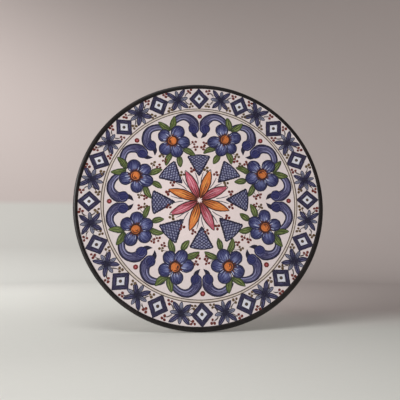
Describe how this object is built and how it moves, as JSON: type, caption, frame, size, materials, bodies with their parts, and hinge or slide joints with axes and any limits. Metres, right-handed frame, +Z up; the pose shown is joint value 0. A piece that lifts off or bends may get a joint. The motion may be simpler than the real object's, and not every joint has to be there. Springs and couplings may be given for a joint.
{
  "type": "ceramic wall plate",
  "caption": "Round glazed ceramic plate that hangs flat on a wall, with a shallow painted face, rounded dark rim and a foot ring drilled for a hanging wire.",
  "frame": {"origin": "on the foot ring's contact face at twelve o'clock, midway between the two wire holes, on the wall plane", "axes": "+Z up, +Y into the wall, so the painted face looks towards -Y"},
  "size_m": [0.28, 0.0195, 0.28],
  "materials": {
    "white_glaze": "glossy warm white tin glaze",
    "black_rim": "glossy brown-black rim glaze",
    "bare_clay": "unglazed fired clay on the foot ring",
    "cobalt": "brushed cobalt blue",
    "navy_line": "dark blue outline",
    "leaf_green": "brushed olive green",
    "orange": "brushed orange",
    "pink": "brushed pink",
    "berry_red": "dark red dots",
    "ochre_line": "thin ochre-grey line"
  },
  "bodies": {
    "root": {"plate": "white_glaze"}
  },
  "joints": []
}
